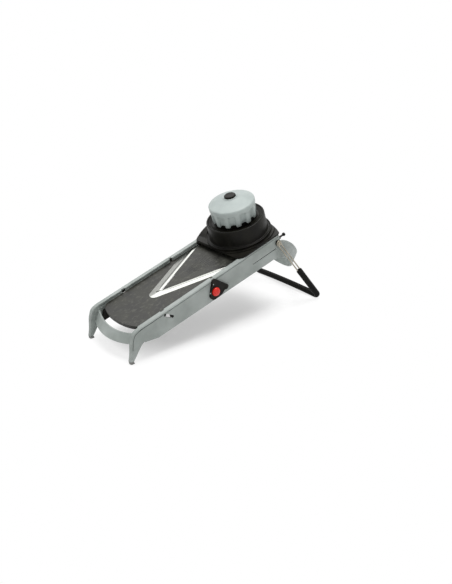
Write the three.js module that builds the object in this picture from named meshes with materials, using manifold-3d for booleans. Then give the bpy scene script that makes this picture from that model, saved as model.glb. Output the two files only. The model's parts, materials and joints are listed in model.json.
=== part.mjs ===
// Mandoline slicer: two sloping rails on front legs and a folding wire stand carry a landing plate with a
// V blade, a ramp that a side lever raises and lowers, and a carriage with a food pusher.
// Every piece is drawn in the bench frame: x runs up the rails, y across them, z square off the rails'
// top faces, with x = 0 over the front feet and z = 0 on the rails. One group then tilts the bench.
import * as THREE from "three";
import { mergeVertices } from "three/addons/utils/BufferGeometryUtils.js";
import Module from "manifold-3d";

const wasm = await Module();
wasm.setup();

// ---- Driving dimensions, in millimetres and degrees ----
const degree = Math.PI / 180;
const deckTilt = 15.5 * degree; // slope of the rails over the table
const fit = 0.4; // gap between pieces that touch or slide

const railSpan = 130; // over the rails' outer faces
const railStart = 34;
const railEnd = 346;
const railTopWidth = 9; // the flat that the carriage runs on
const railWall = 3.4;
const railTopThickness = 2.4;
const railLipThickness = 2.2;
const railLipDepth = 8.5;
const railDepthFront = 36;
const railDepthRear = 39.5;
const mouldedEdge = 1.2; // chamfer along the outer edges of the rails and legs
const grooveLevel = 2.4; // line under the rails' top strip
const grooveWidth = 1.1;
const grooveDepth = 1;

const legDrop = 51.4; // table below the rail tops, at the front feet
const legThickness = 8;
const soleThickness = 5;
const legArchStation = 60; // where the leg's arch runs out into the rail

const bandThickness = 3.6; // front bow and rear handle
const bandEdge = 1; // their rounded edges

const plateLevel = -5.6; // top of the landing plate and of the blade
const plateThickness = 3.4;
const plateFront = 28;
const plateSkirt = 3; // lip that hangs from the landing plate's front edge
const bladeApex = 125.2; // cutting edge, on the centre line
const bladeHalfAngle = 22.5 * degree;
const bladeBandWidth = 16;
const bladeThickness = 1.1;
const bladeBevel = 3.6;
const bladeNoseRadius = 11;
const toothPitch = 3.8;
const toothDepth = 0.7;

const rampDrop = 0.5; // ramp below the blade at its thinnest setting
const rampThickness = 3;
const rampRodStation = railEnd - 8;
const rampRodRadius = 3;
const shaftStation = 202; // thickness shaft
const shaftLevel = -21;
const shaftRadius = 3.5;
const camThrow = 7.4;
const camRadius = 8.9;
const camAngle = 70 * degree; // from upright, at the thinnest setting
const camSpread = 60; // between the two cams

const leverThickness = 3.6;
const lockButtonRadius = 7.6;
const lockButtonStation = 186.3;
const lockButtonLevel = -21.5;
const lockButtonTravel = 1.8;
const lockButtonHeight = 4.6; // what stands proud of the lever

const hopperStation = railEnd - 36.4; // pusher axis, with the carriage at the top of the rails
const hopperRadius = 52.9;
const hopperBore = 49;
const hopperTop = 38.5;
const flangeRadius = 58.9;
const carriageFront = 57.6; // from the pusher axis
const carriageRear = 55.9;
const carriageBow = 17.2; // how far its rear edge curves back at the sides
const carriageDisc = 64.3; // radius of its raised upper step
const carriageShoulder = 8.8; // rise of the shoulder on its far side
const carriageThickness = 4.2;
const shoeWidth = 6;

const knobRadius = 41.4;
const knobRim = 68.5; // level of the knob's widest edge
const knobDome = 9.8;
const knobSkirtBottom = 38.5;
const fluteCount = 12;
const fluteDepth = 3.4;
const centreButtonRadius = 10.2;
const centreButtonHeight = 4.1;
const centreButtonTravel = 2.5;
const centreStemRadius = 4;

const standPivotStation = railEnd - 6.8;
const standPivotLevel = -13;
const standLean = 35.6 * degree; // legs from upright
const standOffset = 3.8; // wire from the rail's outer face, at the pivot
const footHalf = 84; // half the width of the foot, to the sleeve's centre line
const footArch = 3.6; // rise of the foot's middle
const standBareLength = 75; // wire that shows between eye and sleeve
const wireRadius = 1.2;
const wireGap = 5.4; // between the two strands of a leg
const eyeRadius = 4.3;
const pivotHoleRadius = 2.7;
const sleeveWidth = 11.4; // square to the stand's plane
const sleeveDepth = 9.6;
const sleeveBend = 7;

// ---- Places that follow from them ----
const halfSpan = railSpan / 2;
const deckHalf = halfSpan - railTopWidth - fit; // edge of the plates between the rails
const plateUnderside = plateLevel - plateThickness;
const rampLevel = plateLevel - rampDrop;
const bladeSlope = Math.tan(bladeHalfAngle);
const standPlane = halfSpan + standOffset;
const railInside = halfSpan - railTopWidth; // inner face of the rail's lip
const rampRodLevel = rampLevel - rampThickness - rampRodRadius - 0.8;
const originHeight = legDrop * Math.cos(deckTilt);

// ---- Materials ----
const material = (color, roughness, metalness = 0) =>
  new THREE.MeshStandardMaterial({ color, roughness, metalness });
const materials = {
  greyPlastic: material(0x98a09a, 0.5),
  knobPlastic: material(0xc4cbc8, 0.45),
  charcoalPlastic: material(0x5c5c58, 0.65),
  blackPlastic: material(0x24241f, 0.45),
  redPlastic: material(0xd0302a, 0.3),
  rubber: material(0x2a2a28, 0.85),
  greyRubber: material(0x80807e, 0.85),
  steel: material(0xc8c9c6, 0.25, 1),
};

// ---- Solids ----
const up = new THREE.Vector3(0, 0, 1);
const across = new THREE.Vector3(0, 1, 0);
const along = new THREE.Vector3(1, 0, 0);

function toSolid(geometry) {
  const bare = geometry.clone();
  bare.deleteAttribute("normal");
  bare.deleteAttribute("uv");
  const merged = mergeVertices(bare, 1e-4);
  const solid = new wasm.Manifold(
    new wasm.Mesh({
      numProp: 3,
      vertProperties: new Float32Array(merged.attributes.position.array),
      triVerts: new Uint32Array(merged.index.array),
    }),
  );
  if (solid.volume() > 0) return solid;
  const turned = merged.index.array.slice().reverse();
  return new wasm.Manifold(
    new wasm.Mesh({
      numProp: 3,
      vertProperties: new Float32Array(merged.attributes.position.array),
      triVerts: new Uint32Array(turned),
    }),
  );
}

function toGeometry(solid) {
  const mesh = solid.getMesh();
  const points = new Float32Array(mesh.numVert * 3);
  for (let i = 0; i < mesh.numVert; i++) {
    const start = i * mesh.numProp;
    points.set(mesh.vertProperties.subarray(start, start + 3), i * 3);
  }
  const geometry = new THREE.BufferGeometry();
  geometry.setAttribute("position", new THREE.BufferAttribute(points, 3));
  geometry.setIndex(new THREE.BufferAttribute(mesh.triVerts, 1));
  geometry.computeVertexNormals();
  return geometry;
}

const join = (...solids) => solids.reduce((a, b) => a.add(b));
const cut = (solid, ...tools) => tools.reduce((a, b) => a.subtract(b), solid);

// A prism between two stations, levels or offsets, from an outline of [x, y] points or a THREE.Shape.
function prism(outline, from, to, basis, curveSegments = 10) {
  const shape = Array.isArray(outline)
    ? new THREE.Shape(outline.map(([x, y]) => new THREE.Vector2(x, y)))
    : outline;
  const geometry = new THREE.ExtrudeGeometry(shape, {
    depth: to - from,
    bevelEnabled: false,
    curveSegments,
  });
  geometry.translate(0, 0, from);
  geometry.applyMatrix4(basis);
  return toSolid(geometry);
}
const sideBasis = new THREE.Matrix4().makeBasis(along, up, across.clone().negate());
const endBasis = new THREE.Matrix4().makeBasis(across, up, along);
const planBasis = new THREE.Matrix4();

// Outline in station and level, from one offset across the rails to another.
const sidePrism = (outline, y0, y1, segments) => prism(outline, -y1, -y0, sideBasis, segments);
// Outline in offset and level, from one station to another.
const endPrism = (outline, x0, x1, segments) => prism(outline, x0, x1, endBasis, segments);
// Outline in station and offset, from one level to another.
const planPrism = (outline, z0, z1, segments) => prism(outline, z0, z1, planBasis, segments);

function box([x0, x1], [y0, y1], [z0, z1]) {
  const geometry = new THREE.BoxGeometry(x1 - x0, y1 - y0, z1 - z0);
  geometry.translate((x0 + x1) / 2, (y0 + y1) / 2, (z0 + z1) / 2);
  return toSolid(geometry);
}

// A profile of [radius, level] points turned about an upright axis; it closes on itself.
function turned(profile, [x, y], segments = 48) {
  const points = [...profile, profile[0]].map(([r, z]) => new THREE.Vector2(r, z));
  const geometry = new THREE.LatheGeometry(points, segments);
  geometry.rotateX(Math.PI / 2);
  geometry.translate(x, y, 0);
  return toSolid(geometry);
}

// A rod across the rails.
function crossRod(radius, x, z, y0, y1, segments = 20) {
  const geometry = new THREE.CylinderGeometry(radius, radius, y1 - y0, segments);
  geometry.translate(x, (y0 + y1) / 2, z);
  return toSolid(geometry);
}

// Skins a row of rings that have equally many points, and closes both ends.
function loft(rings) {
  const count = rings[0].length;
  const points = rings.flat();
  const faces = [];
  for (let i = 0; i + 1 < rings.length; i++)
    for (let k = 0; k < count; k++) {
      const [a, b] = [i * count + k, i * count + ((k + 1) % count)];
      faces.push(a, b, b + count, a, b + count, a + count);
    }
  for (const [ring, reversed] of [[0, true], [rings.length - 1, false]]) {
    const centre = new THREE.Vector3();
    rings[ring].forEach((p) => centre.addScaledVector(p, 1 / count));
    points.push(centre);
    for (let k = 0; k < count; k++) {
      const [a, b] = [ring * count + k, ring * count + ((k + 1) % count)];
      faces.push(...(reversed ? [b, a, points.length - 1] : [a, b, points.length - 1]));
    }
  }
  const geometry = new THREE.BufferGeometry().setFromPoints(points);
  geometry.setIndex(faces);
  return toSolid(geometry);
}

// A rod of oval section along a path of points: one radius lies in the path's plane, one square to it.
function tube(points, planeNormal, radiusInPlane, radiusAcross, sides) {
  const last = points.length - 1;
  const rings = points.map((point, i) => {
    const run = points[Math.min(last, i + 1)].clone().sub(points[Math.max(0, i - 1)]);
    const side = run.cross(planeNormal).normalize();
    return Array.from({ length: sides }, (_, k) => {
      const angle = (2 * Math.PI * k) / sides;
      return point
        .clone()
        .addScaledVector(side, radiusInPlane * Math.cos(angle))
        .addScaledVector(planeNormal, radiusAcross * Math.sin(angle));
    });
  });
  return loft(rings);
}

const mirrored = (solid) => solid.mirror([0, 1, 0]);
const bothSides = (solid) => join(solid, mirrored(solid));

const bench = new THREE.Group();
function add(name, solid, finish) {
  const mesh = new THREE.Mesh(toGeometry(solid), finish);
  mesh.name = name;
  bench.add(mesh);
}
function addPair(name, farSolid, finish) {
  add(name + "_far", farSolid, finish);
  add(name + "_near", mirrored(farSolid), finish);
}

// ---- Frame: rails, legs, front bow and rear handle in one moulding ----
const legFront = [
  [railStart, 0],
  [26, -0.9],
  [18.5, -3.9],
  [13.4, -10.5],
  [9.5, -18],
  [6, -28],
  [2.5, -37],
  [-2, -46],
].map(([x, z]) => new THREE.Vector2(x, z));

function legShape() {
  const shape = new THREE.Shape();
  shape.moveTo(legArchStation, 0);
  shape.lineTo(railStart, 0);
  shape.splineThru(legFront.slice(1));
  shape.lineTo(-3, -legDrop - 4);
  shape.lineTo(5.5, -legDrop - 4);
  shape.lineTo(4.5, -legDrop + 3);
  shape.splineThru(
    [[11.3, -43], [20.8, -34.8], [29.2, -29], [37, -27.4], [47.7, -29.2]].map(
      ([x, z]) => new THREE.Vector2(x, z),
    ),
  );
  shape.lineTo(legArchStation, -railDepthFront);
  return shape;
}

// A leg, or its sole, with both outlines chamfered.
function legBlock(y0, y1) {
  const geometry = new THREE.ExtrudeGeometry(legShape(), {
    depth: y1 - y0 - 2 * mouldedEdge,
    curveSegments: 3,
    bevelThickness: mouldedEdge,
    bevelSize: mouldedEdge,
    bevelOffset: -mouldedEdge,
    bevelSegments: 1,
  });
  geometry.translate(0, 0, mouldedEdge - y1);
  geometry.applyMatrix4(sideBasis);
  return toSolid(geometry);
}

// The groove under the rail's top strip turns down the leg's front and runs out there.
function legGroove() {
  const curve = new THREE.SplineCurve(legFront.slice(0, 6));
  const steps = 14;
  const line = (distance) =>
    Array.from({ length: steps + 1 }, (_, i) => {
      const [point, run] = [curve.getPointAt(i / steps), curve.getTangentAt(i / steps)];
      return [point.x - distance * run.y, point.y + distance * run.x];
    });
  const [near, far] = [grooveLevel, grooveLevel + grooveWidth];
  const outline = [[railStart + 5, -near], ...line(near), ...line(far).reverse(), [railStart + 5, -far]];
  return sidePrism(outline, halfSpan - grooveDepth, halfSpan + 1);
}

// A block from the table up to a height, in the bench frame.
function tableBlock(height) {
  const [length, depth] = [900, 200];
  const geometry = new THREE.BoxGeometry(length, 400, depth);
  geometry.translate(0, 0, height - depth / 2 - originHeight);
  geometry.rotateY(deckTilt);
  return toSolid(geometry);
}

// One cross-section of a curved band: outer top and bottom rims, and the way out.
function bandRing(top, bottom, outward) {
  const rise = top.clone().sub(bottom).normalize();
  const place = (p, inset, lift) =>
    p.clone().addScaledVector(outward, -inset).addScaledVector(rise, lift);
  const inner = bandThickness;
  return [
    place(top, 0, -bandEdge),
    place(top, bandEdge, 0),
    place(top, inner - bandEdge, 0),
    place(top, inner, -bandEdge),
    place(bottom, inner, bandEdge),
    place(bottom, inner - bandEdge, 0),
    place(bottom, bandEdge, 0),
    place(bottom, 0, bandEdge),
  ];
}

// A band whose two rims are curves of a parameter from 0, at the far side, to 1, at the near side.
function band(topRim, bottomRim, sign, steps = 24) {
  const rings = [];
  for (let i = 0; i <= steps; i++) {
    const [t, dt] = [i / steps, 0.5 / steps];
    const [top, bottom] = [topRim(t), bottomRim(t)];
    const [before, after] = [Math.max(0, t - dt), Math.min(1, t + dt)];
    const run = topRim(after).sub(topRim(before)).add(bottomRim(after)).sub(bottomRim(before));
    const outward = run.cross(top.clone().sub(bottom)).normalize().multiplyScalar(sign);
    rings.push(bandRing(top, bottom, outward));
  }
  return loft(rings);
}

function frontBow() {
  const reach = halfSpan - legThickness + 2; // its ends are buried in the legs
  const rim = (nose, sag, level, rise) => (t) => {
    const y = reach * (1 - 2 * t);
    const radius = (reach ** 2 + sag ** 2) / (2 * sag);
    const x = nose + radius - Math.sqrt(radius ** 2 - y ** 2);
    return new THREE.Vector3(x, y, level + rise * Math.abs(y / reach) ** 3);
  };
  return band(rim(16.7, 14, -13, 4.5), rim(2, 15.5, -24.5, 0), 1);
}

function rearHandle() {
  const rim = (start, reach, level, drop, power) => (t) => {
    const bow = (v) => Math.sign(v) * Math.abs(v) ** (2 / 2.23);
    const angle = Math.PI * t;
    const out = bow(Math.sin(angle));
    return new THREE.Vector3(
      start + reach * out,
      halfSpan * bow(Math.cos(angle)),
      level - drop * out ** power,
    );
  };
  const [top, bottom] = [railEnd - 11, railEnd - 26];
  return band(rim(top, 78, -10, 87, 1.85), rim(bottom, 73, -39.6, 76, 2), -1, 36);
}

function farRail() {
  const lipBack = railInside + railLipThickness;
  const section = [
    [railInside, 0],
    [halfSpan - mouldedEdge, 0],
    [halfSpan, -mouldedEdge],
    [halfSpan, -60],
    [halfSpan - railWall, -60],
    [halfSpan - railWall, -railTopThickness],
    [lipBack, -railTopThickness],
    [lipBack, -railLipDepth],
    [railInside, -railLipDepth],
  ];
  const outline = [
    [railStart, 0],
    [railEnd, 0],
    [railEnd, -16],
    [railEnd - 8, -28],
    [railEnd - 24, -railDepthRear],
    [legArchStation, -railDepthFront],
    [railStart, -28],
  ];
  const rail = endPrism(section, railStart, railEnd).intersect(
    sidePrism(outline, 0, halfSpan + 5),
  );
  const leg = cut(legBlock(halfSpan - legThickness, halfSpan), tableBlock(soleThickness));
  const ledges = plateLedges.map((stations) =>
    join(
      box(stations, [deckHalf - 3, lipBack], [-ledgeDepth, plateUnderside - fit]),
      box(stations, [railInside, lipBack], [plateUnderside - fit - 0.1, -railLipDepth + 0.1]),
    ),
  );
  const rodHanger = box(
    [rampRodStation - 5.5, rampRodStation + 5.5],
    [railInside - 0.2, railInside + 3.6],
    [rampRodLevel - 5.5, -railLipDepth + 0.1],
  );
  return join(rail, leg, ...ledges, rodHanger);
}

// Rounded slot through the rail, from one [station, level] to another.
function slotCutter([x0, z0], [x1, z1], radius, y0, y1) {
  const angle = Math.atan2(z1 - z0, x1 - x0);
  const shape = new THREE.Shape();
  shape.absarc(x0, z0, radius, angle + Math.PI / 2, angle - Math.PI / 2, false);
  shape.absarc(x1, z1, radius, angle - Math.PI / 2, angle + Math.PI / 2, false);
  return sidePrism(shape, y0, y1, 8);
}

const plateLedges = [[44, 78], [102, 245]]; // stations where the rails carry the landing plate
const ledgeDepth = 12;
const slotTop = [83.5, -6];
const slotBottom = [96, -16.5];
const slotRadius = 2.6;
const noseNotch = [81, 88.5];
const lugNotch = [189, 194.6];

function frame() {
  const outerGroove = (stations, levels) =>
    box(stations, [halfSpan - grooveDepth, halfSpan + 1], levels);
  const tongueGroove = box([railStart, railEnd + 1], [railInside - 1, railInside + 1.2], [-4.7, -2.5]);
  const shaftHole = (end) => crossRod(shaftRadius + fit, shaftStation, shaftLevel, railInside, end);
  const farCuts = [
    outerGroove([railStart + 4, railEnd - 2], [-grooveLevel - grooveWidth, -grooveLevel]),
    outerGroove([railEnd - 69, railEnd - 12.5], [-22.4, -22.4 + grooveWidth]),
    legGroove(),
    tongueGroove,
    box(noseNotch, [railInside - 1, railInside + 2.6], [-11, 1]),
    box(lugNotch, [railInside - 1, railInside + 3.4], [-11, 1]),
    slotCutter(slotTop, slotBottom, slotRadius, railInside - 6, halfSpan + 1),
    crossRod(pivotHoleRadius, standPivotStation, standPivotLevel, railInside + 4, halfSpan + 1),
    crossRod(rampRodRadius + fit, rampRodStation, rampRodLevel, railInside - 1, railInside + 3),
  ];
  const body = join(bothSides(farRail()), frontBow(), rearHandle());
  return cut(
    body,
    ...farCuts,
    ...farCuts.map(mirrored),
    shaftHole(halfSpan - 0.8),
    mirrored(shaftHole(halfSpan + 1)),
  );
}

add("frame", frame(), materials.greyPlastic);
addPair(
  "foot_sole",
  legBlock(halfSpan - legThickness + 0.3, halfSpan - 0.3)
    .intersect(tableBlock(soleThickness - 0.3))
    .subtract(tableBlock(0)),
  materials.greyRubber,
);

// ---- Landing plate, its side cheeks and the V blade ----
// A V outline open to the rear: its apex station and the rear station, square to the edges by an offset.
function veeOutline(apex, rear, halfWidth) {
  const reach = apex + halfWidth / bladeSlope;
  return [
    [apex, 0],
    [reach, -halfWidth],
    [rear, -halfWidth],
    [rear, halfWidth],
    [reach, halfWidth],
  ];
}
const veeOffset = (distance) => distance / Math.sin(bladeHalfAngle);

const plateRear = bladeApex + (deckHalf - 2) / bladeSlope;
function plateShape(inset) {
  const front = plateFront + inset;
  const shape = new THREE.Shape();
  shape.moveTo(plateRear, -deckHalf);
  shape.lineTo(plateRear, deckHalf);
  shape.lineTo(front + 18, deckHalf);
  shape.bezierCurveTo(front + 6, 49, front, 26, front, 0);
  shape.bezierCurveTo(front, -26, front + 6, -49, front + 18, -deckHalf);
  return shape;
}

function landingPlate() {
  const plate = planPrism(plateShape(0), plateUnderside, plateLevel, 16);
  const skirt = cut(
    planPrism(plateShape(0), plateUnderside - plateSkirt, plateUnderside + 0.1, 16),
    planPrism(plateShape(2.2), plateUnderside - plateSkirt - 1, plateUnderside, 16),
    box([plateFront + 15, 400], [-90, 90], [plateUnderside - plateSkirt - 1, plateUnderside]),
  );
  const throat = planPrism(
    veeOutline(bladeApex - veeOffset(4), 400, 90),
    plateUnderside - 1,
    plateLevel + 1,
  );
  const seat = planPrism(bladeArm(fit), plateLevel - bladeThickness - 0.3, plateLevel + 1, 12);
  const lugStations = [lugNotch[0] + 0.6, lugNotch[1] - 0.6];
  const lug = join(
    box(lugStations, [deckHalf - 1, railInside + 3], [plateUnderside, plateLevel - 0.2]),
    box(lugStations, [railInside + 1.6, railInside + 3], [plateUnderside, -0.6]),
  );
  return join(cut(join(plate, skirt), throat, seat, mirrored(seat)), bothSides(lug));
}

const seamLap = 0.2; // halves that are mirrored cross the centre line by this much

// The far arm of the blade's V band and half of its nose, grown all round by a margin.
function bladeArm(margin) {
  const shape = new THREE.Shape();
  const halfWidth = deckHalf - 0.6 + margin;
  const outerApex = bladeApex - veeOffset(bladeBandWidth + margin);
  const innerApex = bladeApex + veeOffset(margin);
  const radius = bladeNoseRadius + margin;
  const noseCentre = outerApex + radius / Math.sin(bladeHalfAngle);
  shape.moveTo(innerApex, 0);
  shape.lineTo(innerApex, -seamLap);
  shape.lineTo(noseCentre - radius, -seamLap);
  shape.absarc(noseCentre, 0, radius, Math.PI, Math.PI / 2 + bladeHalfAngle, true);
  shape.lineTo(outerApex + halfWidth / bladeSlope, halfWidth);
  shape.lineTo(innerApex + halfWidth / bladeSlope, halfWidth);
  return shape;
}

function vBlade() {
  const bottom = plateLevel - bladeThickness;
  const body = bothSides(planPrism(bladeArm(0), bottom, plateLevel, 12));
  const edge = deckHalf / Math.sin(bladeHalfAngle);
  // Drawn along the x axis and then turned: a comb that leaves teeth in a cutting edge, and a wedge
  // that leaves its ground bevel.
  const comb = [[edge, -4]];
  for (let run = edge - 14; run > 4; run -= toothPitch)
    comb.push([run, -0.05], [run - toothPitch / 2, toothDepth]);
  comb.push([2, -0.05], [2, -4]);
  const wedge = endPrism(
    [
      [-1, bottom + 0.25],
      [bladeBevel, plateLevel],
      [bladeBevel, plateLevel + 1],
      [-1, plateLevel + 1],
    ],
    -10,
    edge + 10,
  );
  const farEdge = join(planPrism(comb, bottom - 1, plateLevel + 1), wedge)
    .rotate([0, 0, bladeHalfAngle / degree])
    .translate([bladeApex, 0, 0]);
  return cut(body, farEdge, mirrored(farEdge));
}

add("landing_plate", landingPlate(), materials.charcoalPlastic);
add("v_blade", vBlade(), materials.steel);
addPair(
  "plate_cheek",
  sidePrism(
    [[36, -12.4], [76, -12.4], [76, -26], [70, -31], [27, -31], [30.5, -22]],
    deckHalf - 3.2,
    deckHalf,
  ),
  materials.blackPlastic,
);

// Clip behind the rail's slanted slot: a lug in each end of the slot, and an angle that joins them.
function slotClip() {
  const wallFace = halfSpan - railWall - fit;
  const lug = ([x, z]) => crossRod(slotRadius - 0.4, x, z, wallFace - 0.5, halfSpan - 0.5, 16);
  const [left, right] = [slotTop[0] - 2, slotBottom[0] + 2.2];
  const [high, low] = [slotTop[1] + 2.2, slotBottom[1] - 2];
  const angle = [
    [left, high],
    [right, high],
    [right, low],
    [right - 4.2, low],
    [right - 4.2, high - 4.2],
    [left, high - 4.2],
  ];
  return join(sidePrism(angle, wallFace - 1.6, wallFace), lug(slotTop), lug(slotBottom));
}
addPair("slot_clip", slotClip(), materials.blackPlastic);

// ---- Ramp ----
function rampPlate() {
  const underside = rampLevel - rampThickness;
  const apex = bladeApex + veeOffset(0.9);
  const rear = railEnd + 0.6;
  const grip = rampRodRadius + fit;
  const plate = planPrism(veeOutline(apex, rear, deckHalf - 0.3), underside, rampLevel);
  const tailBar = box([rear - 0.1, rear + 3.4], [-halfSpan + 1, halfSpan - 1], [underside - 1, rampLevel]);
  const hook = cut(
    box(
      [rampRodStation - 6.5, rampRodStation + 6.5],
      [28, 40],
      [rampRodLevel - 1.5, underside + 0.1],
    ),
    crossRod(grip, rampRodStation, rampRodLevel, 20, 50),
    box([rampRodStation - grip, rampRodStation + grip], [20, 50], [rampRodLevel - 5, rampRodLevel]),
  );
  return join(plate, tailBar, bothSides(hook));
}

function tailPin() {
  const profile = [[0, 0], [1.7, 0], [1.7, 8], [3.2, 8], [3.2, 10.8], [2.6, 11.4], [0, 11.4]];
  const points = profile.map(([r, z]) => new THREE.Vector2(r, z));
  const geometry = new THREE.LatheGeometry(points, 16);
  geometry.rotateZ(-Math.PI / 2);
  geometry.translate(railEnd + 4.3, halfSpan - 4, rampLevel - 2);
  return toSolid(geometry);
}

add("ramp_plate", rampPlate(), materials.charcoalPlastic);
addPair("ramp_tail_pin", tailPin(), materials.blackPlastic);
add(
  "ramp_rod",
  crossRod(rampRodRadius, rampRodStation, rampRodLevel, -railInside - 2.6, railInside + 2.6),
  materials.steel,
);

// ---- Thickness shaft, cams, lever and lock button ----
const camCentre = [
  shaftStation + camThrow * Math.sin(camAngle),
  shaftLevel + camThrow * Math.cos(camAngle),
];
function cam(y) {
  const disc = crossRod(camRadius, ...camCentre, y - 3, y + 3, 36);
  const hub = crossRod(shaftRadius + 2.4, shaftStation, shaftLevel, y - 4.5, y + 4.5, 24);
  return cut(
    join(disc, hub),
    crossRod(shaftRadius + 0.3, shaftStation, shaftLevel, y - 8, y + 8, 24),
  );
}

// A rounded triangle from three corners, each a station, a level and a radius; a run of points may stand
// between its second and third corners.
function leverOutline(corner, step = []) {
  const shape = new THREE.Shape();
  corner.forEach(([x, z, radius], i) => {
    const [bx, bz, br] = corner[(i + 2) % 3];
    const [nx, nz, nr] = corner[(i + 1) % 3];
    const tangent = (x0, z0, r0, x1, z1, r1) => {
      const angle = Math.atan2(z1 - z0, x1 - x0);
      return angle + Math.acos((r0 - r1) / Math.hypot(x1 - x0, z1 - z0));
    };
    const start = tangent(bx, bz, br, x, z, radius);
    const end = tangent(x, z, radius, nx, nz, nr);
    shape.absarc(x, z, radius, start, end, true);
    if (i === 1) step.forEach(([px, pz]) => shape.lineTo(px, pz));
  });
  return shape;
}

const leverInner = halfSpan + fit;
const leverOuter = leverInner + leverThickness;
const pocketFloor = leverInner + 0.6; // behind the lock button
const pocketDepth = leverOuter - pocketFloor;

function lever() {
  const corners = [[189, -2.2, 4.2], [209.2, -25.6, 4.8], [182, -26.4, 8.4]];
  const step = [[206.4, -29.4], [203.6, -29.6], [201, -31.6], [197.6, -33.6], [193.4, -34.6]];
  const plate = sidePrism(leverOutline(corners, step), leverInner, leverOuter, 8);
  const panel = sidePrism(
    leverOutline([[189.2, -4, 3.2], [206.4, -24, 3], [183, -25.8, 6.8]]),
    leverOuter - 0.5,
    leverOuter + 1,
    8,
  );
  const pocket = crossRod(
    lockButtonRadius + 0.4,
    lockButtonStation,
    lockButtonLevel,
    pocketFloor,
    leverOuter + 1,
    32,
  );
  const shaftSocket = crossRod(
    shaftRadius + 0.3,
    shaftStation,
    shaftLevel,
    leverInner - 1,
    leverInner + 2.4,
  );
  const collar = crossRod(
    lockButtonRadius + 1.6,
    lockButtonStation,
    lockButtonLevel,
    leverOuter - 0.7,
    leverOuter,
    32,
  );
  return mirrored(cut(join(cut(plate, panel), collar), pocket, shaftSocket));
}

function lockButton() {
  const base = pocketFloor + lockButtonTravel + 0.3;
  const rim = leverOuter + lockButtonHeight - 3;
  const r = lockButtonRadius;
  const profile = [
    [0, base],
    [r, base],
    [r, rim],
    [r * 0.93, rim + 1.2],
    [r * 0.7, rim + 2.2],
    [r * 0.38, rim + 2.8],
    [0, rim + 3],
  ];
  return turned(profile, [0, 0], 32)
    .rotate([90, 0, 0])
    .translate([lockButtonStation, 0, lockButtonLevel]);
}

// A coil spring about an upright axis.
function coil(radius, wire, turns, z0, z1) {
  const points = [];
  const steps = 12 * turns;
  for (let i = 0; i <= steps; i++) {
    const angle = (2 * Math.PI * turns * i) / steps;
    const z = z0 + wire + ((z1 - z0 - 2 * wire) * i) / steps;
    points.push(new THREE.Vector3(radius * Math.cos(angle), radius * Math.sin(angle), z));
  }
  return tube(points, up, wire, wire, 6);
}

function lockSpring() {
  return coil(5, 0.35, 2, pocketFloor + 0.1, pocketFloor + lockButtonTravel + 0.2)
    .rotate([90, 0, 0])
    .translate([lockButtonStation, 0, lockButtonLevel]);
}

add(
  "thickness_shaft",
  crossRod(shaftRadius, shaftStation, shaftLevel, -leverInner - 2, halfSpan - 1.2),
  materials.steel,
);
add("cam_far", cam(camSpread / 2), materials.blackPlastic);
add("cam_near", cam(-camSpread / 2), materials.blackPlastic);
add("thickness_lever", lever(), materials.blackPlastic);
add("lock_button", lockButton(), materials.redPlastic);
add("lock_spring", lockSpring(), materials.steel);

// ---- Carriage and hopper ----
function carriageShape(inset) {
  const front = hopperStation - carriageFront + inset;
  const rear = hopperStation + carriageRear - inset;
  const [half, frontCorner, rearCorner] = [halfSpan - inset, 17 - inset, 4];
  const shape = new THREE.Shape();
  shape.moveTo(front, -half + frontCorner);
  shape.absarc(front + frontCorner, -half + frontCorner, frontCorner, Math.PI, 1.5 * Math.PI);
  shape.lineTo(rear - carriageBow - rearCorner, -half);
  const steps = 12;
  for (let i = 0; i <= steps; i++) {
    const y = (half - rearCorner * 0.6) * ((2 * i) / steps - 1);
    shape.lineTo(rear - carriageBow * (y / half) ** 2, y);
  }
  shape.lineTo(rear - carriageBow - rearCorner, half);
  shape.absarc(front + frontCorner, half - frontCorner, frontCorner, 0.5 * Math.PI, Math.PI);
  return shape;
}

// The plate in two steps, the shoulder on its far side, and shoes with tongues in the rails' grooves.
function carriagePlate() {
  const [bottom, top] = [fit, fit + carriageThickness];
  const about = (radius, z0, z1) =>
    turned([[0, z0], [radius, z0], [radius, z1], [0, z1]], [hopperStation, 0], 56);
  const upperArea = join(
    about(carriageDisc, bottom + 2.3, top),
    box([0, railEnd + 60], [8, halfSpan], [bottom + 2.3, top]),
  );
  const layers = join(
    planPrism(carriageShape(0), bottom, bottom + 2.4, 8),
    planPrism(carriageShape(1.2), bottom + 2.3, top, 8).intersect(upperArea),
  );
  const [start, end] = [hopperStation - 47, hopperStation + 34];
  const shoulder = sidePrism(
    [
      [start, top - 1],
      [start + 9, top + carriageShoulder * 0.36],
      [start + 18, top + carriageShoulder * 0.76],
      [start + 25, top + carriageShoulder * 0.96],
      [start + 31, top + carriageShoulder],
      [end - 20, top + carriageShoulder],
      [end - 12, top + carriageShoulder * 0.8],
      [end - 5, top + carriageShoulder * 0.25],
      [end, top - 1],
    ],
    8,
    halfSpan - 0.4,
  )
    .intersect(planPrism(carriageShape(1.2), bottom, top + carriageShoulder + 1, 8))
    .subtract(about(flangeRadius + 0.8, top - 0.6, top + carriageShoulder + 1));
  const bore = about(hopperBore, -1, 20);
  const [shoeStart, shoeEnd] = [hopperStation - carriageFront + 1, hopperStation + 34];
  const shoe = join(
    box([shoeStart, shoeEnd], [deckHalf - shoeWidth, deckHalf], [plateLevel + fit, fit + 1]),
    box([shoeStart, shoeEnd], [deckHalf - 1, deckHalf + 1.2], [-4.3, -2.9]),
  );
  return join(cut(join(layers, shoulder), bore), bothSides(shoe));
}

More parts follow.
